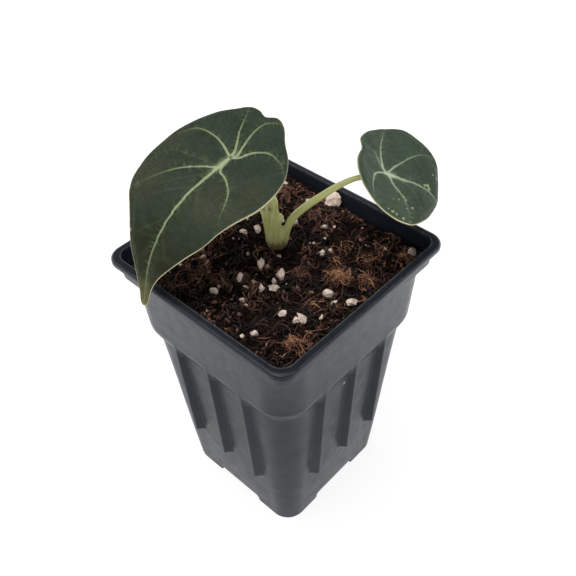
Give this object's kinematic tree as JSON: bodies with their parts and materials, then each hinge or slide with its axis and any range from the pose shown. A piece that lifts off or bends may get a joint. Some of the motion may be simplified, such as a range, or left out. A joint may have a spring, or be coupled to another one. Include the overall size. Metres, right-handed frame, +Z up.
{
  "type": "potted alocasia plant",
  "caption": "Potted velvet-leaved aroid: a long heart-shaped leaf and a small round one on curved stalks, in soil in a deep square nursery pot with ribbed, tapered walls.",
  "frame": {"origin": "centre of the pot's footprint, on the ground under its feet; the floor's underside lies 1 mm above it", "axes": "+Z up; X and Y square to the pot's walls; the large leaf hangs over the -Y wall and the small leaf reaches over the +X, +Y corner"},
  "size_m": [0.089, 0.1054, 0.1731],
  "materials": {
    "pot_plastic": "smooth dark grey plastic with a dull sheen",
    "potting_mix": "loose dark brown potting mix with bark, coir and white perlite",
    "rhizome_skin": "dull brown plant skin",
    "leaf_stalk": "satin yellow-green plant skin",
    "velvet_leaf": "dark green velvet with pale veins"
  },
  "bodies": {
    "root": {"pot": "pot_plastic", "soil": "potting_mix", "rhizome": "rhizome_skin", "large_stalk": "leaf_stalk", "small_stalk": "leaf_stalk", "large_leaf": "velvet_leaf", "small_leaf": "velvet_leaf"}
  },
  "joints": []
}
